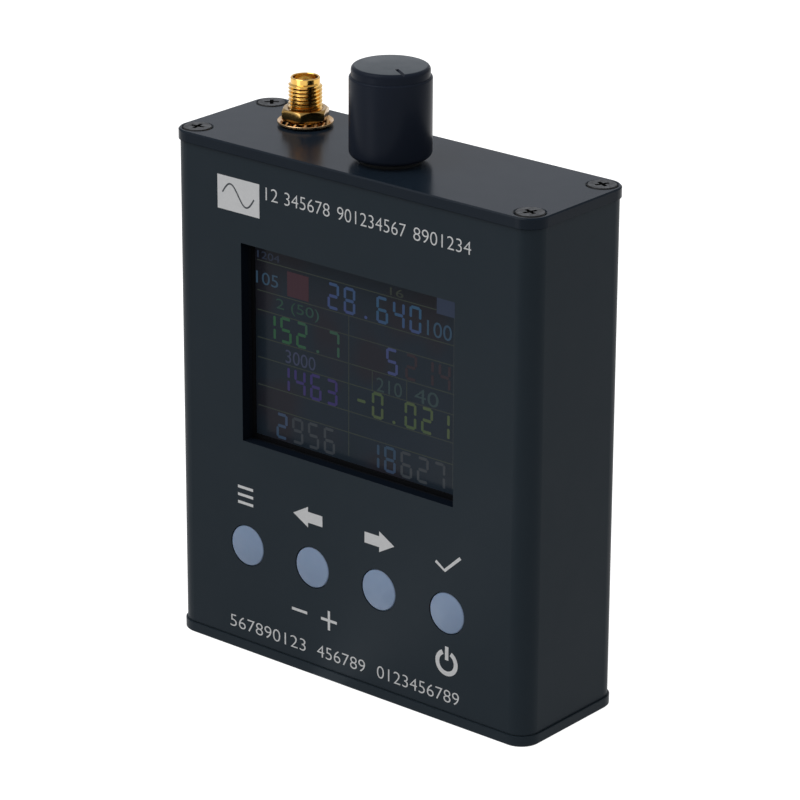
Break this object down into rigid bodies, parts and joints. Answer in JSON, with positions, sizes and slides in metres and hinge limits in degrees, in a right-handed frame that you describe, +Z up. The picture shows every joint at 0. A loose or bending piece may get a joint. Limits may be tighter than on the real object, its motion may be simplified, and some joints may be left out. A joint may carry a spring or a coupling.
{
  "type": "antenna analyzer",
  "caption": "Hand-held antenna analyzer: flat black extruded aluminium case with a colour display, round push buttons, a threaded radio-frequency connector and a push-and-turn knob on top.",
  "frame": {"origin": "middle of the underside of the bottom plate", "axes": "+Z up along the case towards the knob, +X to the right as seen from the display side, +Y to the back"},
  "size_m": [0.0848, 0.0278, 0.1181],
  "materials": {
    "black_anodised_aluminium": "satin black anodised",
    "knob_anodised_aluminium": "satin blue-black anodised",
    "black_oxide_steel": "black oxide",
    "plain_steel": "plain machined",
    "tinned_steel": "bright tin plate",
    "gold_plated_brass": "polished gold plate",
    "machined_brass": "machined",
    "white_fluoropolymer": "smooth",
    "pale_button_plastic": "satin",
    "black_plastic": "moulded",
    "ivory_plastic": "moulded",
    "chip_epoxy": "moulded epoxy",
    "circuit_board": "green solder mask",
    "cover_glass": "polished",
    "backlight_plastic": "diffusing film",
    "black_foam": "closed-cell foam",
    "amber_polyimide": "film",
    "cell_foil": "laminated foil",
    "adhesive_tape": "double-sided tape",
    "red_insulation": "smooth",
    "black_insulation": "smooth",
    "clear_light_plastic": "clear"
  },
  "bodies": {
    "housing": {"case_sleeve": "black_anodised_aluminium", "top_plate": "black_anodised_aluminium", "bottom_plate": "black_anodised_aluminium", "top_plate_screws": "black_oxide_steel", "bottom_plate_screws": "black_oxide_steel", "display_gasket": "black_foam", "display_frame": "plain_steel", "display_glass": "cover_glass", "display_backlight": "backlight_plastic", "display_flex": "amber_polyimide", "flex_connector": "black_plastic", "front_board": "circuit_board", "main_board": "circuit_board", "standoffs": "machined_brass", "front_board_screws": "plain_steel", "main_board_screws": "plain_steel", "board_header": "black_plastic", "board_socket": "black_plastic", "header_pins": "gold_plated_brass", "shield_can": "tinned_steel", "processor_chip": "chip_epoxy", "board_chips": "chip_epoxy", "switch_bodies": "black_plastic", "switch_covers": "tinned_steel", "rf_jack": "gold_plated_brass", "rf_insulator": "white_fluoropolymer", "rf_contact": "gold_plated_brass", "rf_lock_washer": "gold_plated_brass", "rf_nut": "gold_plated_brass", "encoder_housing": "black_plastic", "encoder_bushing": "plain_steel", "encoder_washer": "plain_steel", "encoder_nut": "plain_steel", "encoder_pins": "tinned_steel", "encoder_board": "circuit_board", "encoder_cable": "black_insulation", "cable_connectors": "ivory_plastic", "battery_cell": "cell_foil", "battery_tape": "adhesive_tape", "battery_board": "circuit_board", "battery_connector": "ivory_plastic", "battery_plug": "ivory_plastic", "battery_lead_red": "red_insulation", "battery_lead_black": "black_insulation", "usb_shell": "tinned_steel", "usb_tongue": "black_plastic", "charge_led": "clear_light_plastic"},
    "button_menu": {"button_cap_menu": "pale_button_plastic", "switch_plunger_menu": "ivory_plastic"},
    "button_left": {"button_cap_left": "pale_button_plastic", "switch_plunger_left": "ivory_plastic"},
    "button_right": {"button_cap_right": "pale_button_plastic", "switch_plunger_right": "ivory_plastic"},
    "button_confirm": {"button_cap_confirm": "pale_button_plastic", "switch_plunger_confirm": "ivory_plastic"},
    "knob_press": {"encoder_push_plunger": "ivory_plastic"},
    "knob_turn": {"knob": "knob_anodised_aluminium", "knob_insert": "machined_brass", "knob_set_screw": "black_oxide_steel", "encoder_shaft": "plain_steel"}
  },
  "joints": [
    {"name": "button_menu_press", "type": "slide", "parent": "housing", "child": "button_menu", "axis": [0, 1, 0], "range_m": [0, 0.0003], "stiffness_N_per_m": 5000, "springref_m": -0.00005},
    {"name": "button_left_press", "type": "slide", "parent": "housing", "child": "button_left", "axis": [0, 1, 0], "range_m": [0, 0.0003], "stiffness_N_per_m": 5000, "springref_m": -0.00005},
    {"name": "button_right_press", "type": "slide", "parent": "housing", "child": "button_right", "axis": [0, 1, 0], "range_m": [0, 0.0003], "stiffness_N_per_m": 5000, "springref_m": -0.00005},
    {"name": "button_confirm_press", "type": "slide", "parent": "housing", "child": "button_confirm", "axis": [0, 1, 0], "range_m": [0, 0.0003], "stiffness_N_per_m": 5000, "springref_m": -0.00005},
    {"name": "knob_push", "type": "slide", "parent": "housing", "child": "knob_press", "axis": [0, 0, -1], "range_m": [0, 0.0005], "stiffness_N_per_m": 6000, "springref_m": -0.0001},
    {"name": "knob_rotation", "type": "hinge", "parent": "knob_press", "child": "knob_turn", "pos_m": [0.0013, -0.00292, 0.1002], "axis": [0, 0, 1], "continuous": true}
  ]
}
